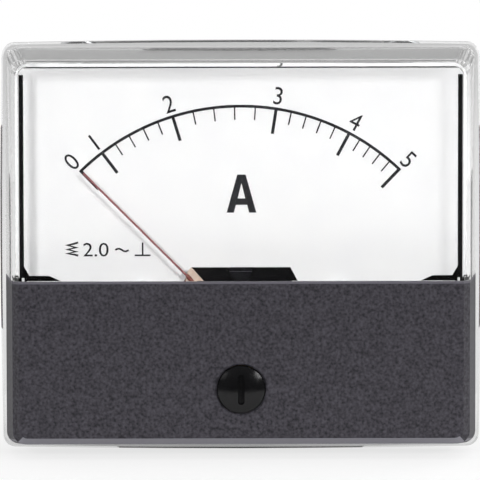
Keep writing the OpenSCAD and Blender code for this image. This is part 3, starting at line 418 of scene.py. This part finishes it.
def settle(piece, body, material):
    """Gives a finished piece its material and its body."""
    piece.data.materials.clear()
    piece.data.materials.append(material)
    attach(piece, body)


def plain_mesh(name, mesh):
    """Puts a mesh in the scene as an object of its own."""
    piece = bpy.data.objects.new(name, mesh)
    scene.collection.objects.link(piece)
    return piece


# ---------- Print on the dial ----------
DIAL_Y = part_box("dial_plate")[0][1]
PIVOT = Vector((0, 0, -12.7 * MM))
INK = 0.03 * MM
FIGURE_RADIUS = 35.3 * MM
FIGURE_HEIGHT = 2.55 * MM
FIGURE_SQUEEZE = 0.92
# Degrees from upright of each whole ampere, from 0 to 5
WHOLE_AMPERES = (-44.1, -37.1, -17.2, 8.9, 28.2, 43.6)
FLAT_THICKNESS = 0.01
SAME_PLACE = 1e-7

print_mesh = bmesh.new()


def stamp(curve_object, height, at, turn=0.0, squeeze=1.0):
    """Adds a flat curve or text to the dial's print: scaled to a height, centred and turned
    clockwise."""
    evaluated = curve_object.evaluated_get(bpy.context.evaluated_depsgraph_get())
    mesh = bpy.data.meshes.new_from_object(evaluated)
    xs = [v.co.x for v in mesh.vertices]
    ys = [v.co.y for v in mesh.vertices]
    scale = height / (max(ys) - min(ys))
    middle = Vector(((max(xs) + min(xs)) / 2, (max(ys) + min(ys)) / 2, 0))
    c, s = math.cos(turn), math.sin(turn)
    for vertex in mesh.vertices:
        flat = (vertex.co - middle) * scale
        x, z = flat.x * squeeze, flat.y
        lift = INK if vertex.co.z > 0 else 0
        vertex.co = Vector((at[0] + x * c + z * s, DIAL_Y - lift, at[1] - x * s + z * c))
    print_mesh.from_mesh(mesh)
    bpy.data.meshes.remove(mesh)
    bpy.data.objects.remove(curve_object)


def lettering(text):
    """Plain figures as a flat text object."""
    data = bpy.data.curves.new("lettering", "FONT")
    data.body = text
    data.extrude = FLAT_THICKNESS
    data.resolution_u = 6
    made = bpy.data.objects.new("lettering", data)
    scene.collection.objects.link(made)
    return made


def outline(*loops):
    """A filled shape from straight-sided loops in millimetres; inner loops cut holes."""
    data = bpy.data.curves.new("outline", "CURVE")
    data.dimensions = "2D"
    data.fill_mode = "BOTH"
    data.extrude = FLAT_THICKNESS
    for loop in loops:
        spline = data.splines.new("POLY")
        spline.points.add(len(loop) - 1)
        for point, (x, y) in zip(spline.points, loop):
            point.co = (x, y, 0, 1)
        spline.use_cyclic_u = True
    made = bpy.data.objects.new("outline", data)
    scene.collection.objects.link(made)
    return made


# A mitre grows no further than at a turn whose half angle has this cosine
SHARPEST_MITRE = 0.35


def stroke(points, width):
    """A line of even width through points, mitred at its corners."""
    sides = ([], [])
    for i, (x, y) in enumerate(points):
        here = Vector((x, y))
        before = (here - Vector(points[i - 1])).normalized() if i else None
        after = (Vector(points[i + 1]) - here).normalized() if i < len(points) - 1 else None
        along = ((before or after) + (after or before)).normalized()
        across = Vector((-along.y, along.x))
        reach = width / 2 / max(SHARPEST_MITRE, along.dot(after or before))
        sides[0].append(tuple(here + across * reach))
        sides[1].append(tuple(here - across * reach))
    return outline(sides[0] + sides[1][::-1])


def on_dial(x_mm, z_mm):
    """A place on the dial, from millimetres to the right of the barrel's axis and above it."""
    return x_mm * MM, z_mm * MM


for figure, angle in enumerate(WHOLE_AMPERES):
    a = math.radians(angle)
    stamp(lettering(str(figure)), FIGURE_HEIGHT,
          (FIGURE_RADIUS * math.sin(a), PIVOT.z + FIGURE_RADIUS * math.cos(a)), a, FIGURE_SQUEEZE)

# The unit in the middle
UNIT_A = [(-2.18, 0), (-0.62, 5.6), (0.62, 5.6), (2.18, 0), (1.12, 0), (0.82, 1.15),
          (-0.82, 1.15), (-1.12, 0)]
UNIT_A_EYE = [(-0.56, 2.1), (0.56, 2.1), (0, 4.35)]
UNIT_HEIGHT = 5.55 * MM
stamp(outline(UNIT_A, UNIT_A_EYE), UNIT_HEIGHT, on_dial(0.1, 7.95))

# The small symbols at the lower left: moving iron, accuracy class, alternating current, upright use
SYMBOL_STROKE = 0.3
SYMBOL_HEIGHT = 2.0 * MM
MOVING_IRON = [(0.87, 1.0), (0.3, 0.82), (-0.75, 0.58), (0.56, 0.22), (-0.75, -0.07),
               (0.56, -0.4), (-0.75, -0.68), (0.3, -0.85), (0.87, -1.0)]
MOVING_IRON_HEIGHT = 2.2 * MM
stamp(stroke(MOVING_IRON, SYMBOL_STROKE), MOVING_IRON_HEIGHT, on_dial(-24.6, -0.1))
CLASS_SQUEEZE = 1.12
stamp(lettering("2.0"), SYMBOL_HEIGHT, on_dial(-21.1, -0.2), 0, CLASS_SQUEEZE)
WAVE = [(x / 10, 0.22 * math.sin(-math.pi * x / 10)) for x in range(-10, 11)]
WAVE_HEIGHT = 0.66 * MM
WAVE_SQUEEZE = 1.1
stamp(stroke(WAVE, SYMBOL_STROKE), WAVE_HEIGHT, on_dial(-17.3, -0.25), 0, WAVE_SQUEEZE)
UPRIGHT = [(-1.15, 0), (1.15, 0), (1.15, 0.24), (0.12, 0.24), (0.12, 2), (-0.12, 2),
           (-0.12, 0.24), (-1.15, 0.24)]
stamp(outline(UPRIGHT), SYMBOL_HEIGHT, on_dial(-14.3, -0.15))

bmesh.ops.remove_doubles(print_mesh, verts=print_mesh.verts, dist=SAME_PLACE)
bmesh.ops.recalc_face_normals(print_mesh, faces=print_mesh.faces)
dial_print = bpy.data.meshes.new("dial_print")
print_mesh.to_mesh(dial_print)
print_mesh.free()
settle(plain_mesh("dial_print", dial_print), "meter_body", finish["printing_ink"])


# ---------- Threads ----------
STEPS_PER_TURN = 20
RIDGE_SIDES = 4


def thread_tree():
    """A sharp ridge wound round a shank, repeated at every corner of a grid."""
    tree = bpy.data.node_groups.new("threads", "GeometryNodeTree")
    sizes_mm = [("Core radius", 1.0), ("Crest height", 0.2), ("Pitch", 0.5), ("Length", 5.0),
                ("Start", 0.0), ("Span X", 10.0), ("Span Z", 10.0)]
    for name, size_mm in sizes_mm:
        socket = tree.interface.new_socket(name, in_out="INPUT", socket_type="NodeSocketFloat")
        socket.default_value = size_mm * MM
    rows = tree.interface.new_socket("Rows", in_out="INPUT", socket_type="NodeSocketInt")
    rows.default_value = 2
    tree.interface.new_socket("Finish", in_out="INPUT", socket_type="NodeSocketMaterial")
    tree.interface.new_socket("Geometry", in_out="OUTPUT", socket_type="NodeSocketGeometry")
    given = add(tree, "NodeGroupInput").outputs
    turns = add(tree, "ShaderNodeMath", links={0: given["Length"], 1: given["Pitch"]},
                operation="DIVIDE")
    helix = add(tree, "GeometryNodeCurveSpiral", {"Resolution": STEPS_PER_TURN},
                {"Rotations": turns.outputs[0], "Start Radius": given["Core radius"],
                 "End Radius": given["Core radius"], "Height": given["Length"]})
    upright = add(tree, "GeometryNodeSetCurveNormal", links={"Curve": helix.outputs[0]},
                  mode="Z_UP")
    ridge = add(tree, "GeometryNodeCurvePrimitiveCircle", {"Resolution": RIDGE_SIDES},
                {"Radius": given["Crest height"]})
    wound = add(tree, "GeometryNodeCurveToMesh", {"Fill Caps": True},
                {"Curve": upright.outputs[0], "Profile Curve": ridge.outputs[0]})
    grid = add(tree, "GeometryNodeMeshGrid", {"Vertices X": 2},
               {"Size X": given["Span X"], "Size Y": given["Span Z"], "Vertices Y": given["Rows"]})
    placed = add(tree, "GeometryNodeInstanceOnPoints",
                 links={"Points": grid.outputs[0], "Instance": wound.outputs[0]})
    where = add(tree, "ShaderNodeCombineXYZ", links={"Y": given["Start"]})
    turned = add(tree, "GeometryNodeTransform", {"Rotation": (-math.pi / 2, 0, 0)},
                 {"Geometry": placed.outputs[0], "Translation": where.outputs[0]})
    real = add(tree, "GeometryNodeRealizeInstances", links={"Geometry": turned.outputs[0]})
    dressed = add(tree, "GeometryNodeSetMaterial",
                  links={"Geometry": real.outputs[0], "Material": given["Finish"]})
    add(tree, "NodeGroupOutput", links={0: dressed.outputs[0]})
    return tree


def grown(name, tree, inputs):
    """Runs a Geometry Nodes tree once and keeps its result as a plain mesh."""
    seed = plain_mesh(name + "_seed", bpy.data.meshes.new(name + "_seed"))
    modifier = seed.modifiers.new("grow", "NODES")
    modifier.node_group = tree
    for socket in tree.interface.items_tree:
        if socket.in_out == "INPUT" and socket.name in inputs:
            modifier[socket.identifier] = inputs[socket.name]
    evaluated = seed.evaluated_get(bpy.context.evaluated_depsgraph_get())
    mesh = bpy.data.meshes.new_from_object(evaluated)
    mesh.name = name
    bpy.data.objects.remove(seed)
    return plain_mesh(name, mesh)


# M3 threads on the panel studs, from just behind each washer's front to short of the stud's end
STUD_SPAN_X = 48 * MM
STUD_SPAN_Z = 40 * MM
THREAD_CORE = 1.2 * MM
THREAD_CREST = 0.26 * MM
THREAD_PITCH = 0.5 * MM
THREAD_START = 0.1 * MM
THREAD_SHORTFALL = 0.7 * MM

stud_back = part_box("panel_studs")[1][1]
washer_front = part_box("stud_washers")[0][1]
stud_threads = grown("stud_threads", thread_tree(), {
    "Core radius": THREAD_CORE, "Crest height": THREAD_CREST, "Pitch": THREAD_PITCH,
    "Length": stud_back - washer_front - THREAD_SHORTFALL, "Start": washer_front + THREAD_START,
    "Span X": STUD_SPAN_X, "Span Z": STUD_SPAN_Z, "Rows": 2, "Finish": finish["zinc_plate"]})
settle(stud_threads, "meter_body", finish["zinc_plate"])


# ---------- Joints of varnish and solder ----------
FULLER_SIDE = 0.1


def drop(name, centre, radii, lean=0.0, ripple=0.12):
    """A set drop: a rounded blob, fuller on one side, with its skin drawn in unevenly."""
    shape = bmesh.new()
    bmesh.ops.create_icosphere(shape, subdivisions=4, radius=1)
    for vertex in shape.verts:
        p = vertex.co.copy()
        uneven_skin = math.sin(2.3 * p.x + 1.1) * math.cos(1.9 * p.z + 0.4)
        swell = 1 + ripple * uneven_skin + FULLER_SIDE * p.x * p.z
        x, y, z = p.x * radii[0] * swell, p.y * radii[1] * swell, p.z * radii[2] * swell
        vertex.co = centre + Vector((x * math.cos(lean) + z * math.sin(lean), y,
                                     -x * math.sin(lean) + z * math.cos(lean)))
    mesh = bpy.data.meshes.new(name)
    shape.to_mesh(mesh)
    shape.free()
    mesh.shade_smooth()
    return plain_mesh(name, mesh)


# The needle's root, from the pivot: along the pointer at rest and to its right
REST = math.radians(-45)
ROOT_ALONG = 11.1 * MM
ROOT_ASIDE = 0.7 * MM
VARNISH_RADII = (0.36 * MM, 0.34 * MM, 0.95 * MM)

needle_low, needle_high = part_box("pointer_needle")
needle_y = (needle_low[1] + needle_high[1]) / 2
root = PIVOT + Vector((ROOT_ALONG * math.sin(REST) + ROOT_ASIDE * math.cos(REST), needle_y,
                       ROOT_ALONG * math.cos(REST) - ROOT_ASIDE * math.sin(REST)))
settle(drop("needle_varnish", root, VARNISH_RADII, REST), "pointer",
       finish["varnish_drop"])

# Each solder joint sits on the front of its tag
SOLDER_X = 13 * MM
SOLDER_PROUD = 0.35 * MM
SOLDER_ABOVE_FOOT = 1.9 * MM
SOLDER_RADII = (1.05 * MM, 0.6 * MM, 1.5 * MM)
SOLDER_RIPPLE = 0.08

tag_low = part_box("solder_tags")[0]
for side, name in ((-1, "solder_joint_left"), (1, "solder_joint_right")):
    centre = Vector((side * SOLDER_X, tag_low[1] - SOLDER_PROUD, tag_low[2] + SOLDER_ABOVE_FOOT))
    settle(drop(name, centre, SOLDER_RADII, 0.0, SOLDER_RIPPLE), "meter_body",
           finish["bright_solder"])


# ---------- Room ----------
# The share of the white ground that shows by reflection and through the plastic
SEEN_INDIRECTLY = 0.42
# From NEAR to FAR from the axis, in metres, the paper goes from keeping a shadow to plain white
SHADOW_NEAR, SHADOW_FAR = 0.05, 0.2
SHADOW_GLOW = 0.75


def paper_sheet(name, half_width, front, back, height, material):
    """A level rectangle that isn't part of the meter."""
    mesh = bpy.data.meshes.new(name)
    mesh.from_pydata([(-half_width, front, height), (half_width, front, height),
                      (half_width, back, height), (-half_width, back, height)],
                     [], [(0, 1, 2, 3)])
    mesh.materials.append(material)
    piece = plain_mesh(name, mesh)


def seen_share(tree):
    """How far a ray sees the plain white ground: wholly from the lens, and partly by reflection
    or through plastic."""
    path = add(tree, "ShaderNodeLightPath")
    indirect = add(tree, "ShaderNodeMath", links={0: path.outputs["Is Glossy Ray"],
                                                  1: path.outputs["Is Transmission Ray"]},
                   operation="MAXIMUM")
    partly = add(tree, "ShaderNodeMath", {1: SEEN_INDIRECTLY}, {0: indirect.outputs[0]},
                 operation="MULTIPLY")
    return add(tree, "ShaderNodeMath", links={0: path.outputs["Is Camera Ray"],
                                              1: partly.outputs[0]},
               operation="MAXIMUM").outputs[0]


def white_paper():
    """Matt white studio paper: mostly its own white to the lens, so that it keeps only a soft
    trace of shadow, and wholly so beyond the meter's surroundings."""
    made, tree, shader, place = start("white_paper", "#f4f4f4", 0.9)
    shader.inputs["Specular IOR Level"].default_value = 0.0
    mottle(tree, shader, noise(tree, place, 1.5, 2.0), "#f2f2f2", "#f6f6f6")
    distance = add(tree, "ShaderNodeVectorMath", links={0: place}, operation="LENGTH")
    plain = add(tree, "ShaderNodeMapRange", {"From Min": SHADOW_NEAR, "From Max": SHADOW_FAR,
                                             "To Min": SHADOW_GLOW, "To Max": 1.0},
                {"Value": distance.outputs["Value"]})
    share = add(tree, "ShaderNodeMath", links={0: seen_share(tree), 1: plain.outputs[0]},
                operation="MULTIPLY")
    glow = add(tree, "ShaderNodeEmission", {"Color": WHITE, "Strength": 1.0})
    resurface(tree, add(tree, "ShaderNodeMixShader", links={
        0: share.outputs[0], 1: shader.outputs[0], 2: glow.outputs[0]}))
    return made


# The sheet ends close in front of the meter, so that its window mirrors the dark half of the room
FLOOR_HALF_WIDTH = 2.0
FLOOR_FRONT, FLOOR_BACK = -0.07, 3.0
FLOOR_GAP = 0.05 * MM
paper_sheet("floor", FLOOR_HALF_WIDTH, FLOOR_FRONT, FLOOR_BACK, cad_box[0][2] - FLOOR_GAP,
            white_paper())

world = bpy.data.worlds.new("studio")
scene.world = world
world.use_nodes = True
sky = world.node_tree
sky.nodes.clear()
around_room = add(sky, "ShaderNodeTexCoord").outputs["Generated"]
direction = add(sky, "ShaderNodeSeparateXYZ", links={0: around_room})
# The room is dark behind the lens and dim elsewhere, brighter overhead, with a pale backdrop
# ahead: for each part, the direction's axis, its range and the range of the light
ROOM_LIGHT = [("Y", -0.95, -0.35, 0.01, 0.15), ("Z", -0.2, 1.0, 0.0, 0.3),
              ("Y", 0.2, 0.85, 0.0, 0.45)]
parts = [add(sky, "ShaderNodeMapRange",
             {"From Min": from_min, "From Max": from_max, "To Min": to_min, "To Max": to_max},
             {"Value": direction.outputs[axis]})
         for axis, from_min, from_max, to_min, to_max in ROOM_LIGHT]
room = parts[0]
for part in parts[1:]:
    room = add(sky, "ShaderNodeMath", links={0: room.outputs[0], 1: part.outputs[0]},
               operation="ADD")
dim = add(sky, "ShaderNodeBackground", {"Color": WHITE}, {"Strength": room.outputs[0]})
white = add(sky, "ShaderNodeBackground", {"Color": WHITE, "Strength": 1.0})
from_lens = add(sky, "ShaderNodeLightPath").outputs["Is Camera Ray"]
both = add(sky, "ShaderNodeMixShader", links={0: from_lens, 1: dim.outputs[0],
                                              2: white.outputs[0]})
add(sky, "ShaderNodeOutputWorld", links={"Surface": both.outputs[0]})


def lamp(name, size, at, watts, roll=0.0, hidden_from=()):
    """A soft box aimed at the dial's middle, unseen by the lens and by the kinds of ray that it
    is hidden from. Its roll is in degrees."""
    data = bpy.data.lights.new(name, "AREA")
    data.shape = "RECTANGLE"
    data.size, data.size_y = size
    data.energy = watts
    made = bpy.data.objects.new(name, data)
    scene.collection.objects.link(made)
    made.location = at
    made.rotation_mode = "QUATERNION"
    made.rotation_quaternion = (Vector(at).to_track_quat("Z", "Y").to_matrix()
                                @ Matrix.Rotation(math.radians(roll), 3, "Z")).to_quaternion()
    made.visible_camera = False
    for kind in hidden_from:
        setattr(made, "visible_" + kind, False)


def around(azimuth, elevation, distance=0.85):
    """A point round the dial: degrees to its right, degrees above it and metres from it."""
    a, e = math.radians(azimuth), math.radians(elevation)
    return (distance * math.cos(e) * math.sin(a), -distance * math.cos(e) * math.cos(a),
            distance * math.sin(e))


# Two soft boxes light the front without a mirror image of themselves, and thin strips draw the
# gleams on the knob
lamp("key_box", (0.12, 0.14), around(22, 14), 3.8, hidden_from=("glossy",))
lamp("fill_box", (0.07, 0.16), around(-18, 14), 3.55, hidden_from=("glossy",))
lamp("gleam_right", (0.17, 0.04), around(32, 17), 0.5, -50)
lamp("gleam_left", (0.17, 0.03), around(-32, 17), 0.08, 50)
lamp("gleam_low", (0.12, 0.03), around(31, -28), 0.06, 45)
# Broad boxes light the sides, the top and the back
lamp("left_strip", (0.35, 0.6), (-0.55, -0.03, 0.02), 0.8, hidden_from=("transmission",))
lamp("right_strip", (0.35, 0.6), (0.55, -0.03, 0.02), 2.0, hidden_from=("transmission",))
lamp("top_box", (0.5, 0.5), (0.0, 0.15, 0.8), 1.0, hidden_from=("transmission",))
lamp("back_box", (0.4, 0.3), around(145, 30), 1.6, hidden_from=("transmission",))
